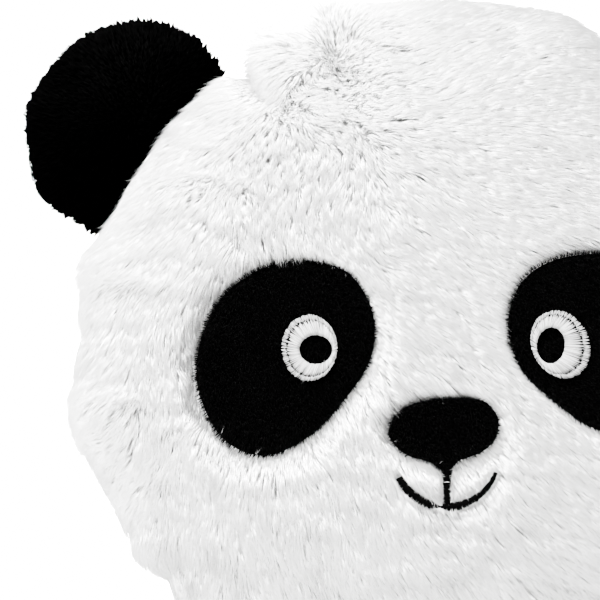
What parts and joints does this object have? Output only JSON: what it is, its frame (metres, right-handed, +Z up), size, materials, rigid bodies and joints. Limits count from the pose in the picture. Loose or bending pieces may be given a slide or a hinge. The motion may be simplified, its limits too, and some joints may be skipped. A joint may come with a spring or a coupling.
{
  "type": "plush panda head cushion",
  "caption": "Round stuffed plush panda head of long white fur with black fold-down ears, sewn eye patches, an applique nose and an embroidered mouth.",
  "frame": {"origin": "centre of the flat that the head stands on, midway through its thickness", "axes": "+Z up through the top of the head, +X to the viewer's right when looking at the face, the face looks along -Y"},
  "size_m": [0.3356, 0.16, 0.288],
  "materials": {
    "white_fur": "matte",
    "black_pile": "matte",
    "white_thread": "satin",
    "black_thread": "satin",
    "filling_fibre": "matte",
    "backing_cloth": "matte"
  },
  "bodies": {
    "head": {"face_panel": "white_fur", "back_panel": "white_fur", "head_filling": "filling_fibre", "perimeter_seam_thread": "white_thread", "closing_stitch": "white_thread", "embroidery_backing": "backing_cloth", "left_eye_patch": "black_pile", "right_eye_patch": "black_pile", "left_patch_stitching": "black_thread", "right_patch_stitching": "black_thread", "left_eye_ring": "white_thread", "right_eye_ring": "white_thread", "nose_applique": "black_pile", "nose_stitching": "black_thread", "philtrum_stitch": "black_thread", "smile_stitch": "black_thread"},
    "left_ear": {"left_ear_front": "black_pile", "left_ear_back": "black_pile", "left_ear_filling": "filling_fibre", "left_ear_seam_thread": "black_thread"},
    "right_ear": {"right_ear_front": "black_pile", "right_ear_back": "black_pile", "right_ear_filling": "filling_fibre", "right_ear_seam_thread": "black_thread"}
  },
  "joints": [
    {"name": "left_ear_fold", "type": "hinge", "parent": "head", "child": "left_ear", "pos_m": [-0.11551, 0, 0.22548], "axis": [0.5948, 0, 0.8039], "range_deg": [-60, 60], "stiffness_Nm_per_rad": 0.08},
    {"name": "right_ear_fold", "type": "hinge", "parent": "head", "child": "right_ear", "pos_m": [0.11551, 0, 0.22548], "axis": [0.5948, 0, -0.8039], "range_deg": [-60, 60], "stiffness_Nm_per_rad": 0.08}
  ]
}
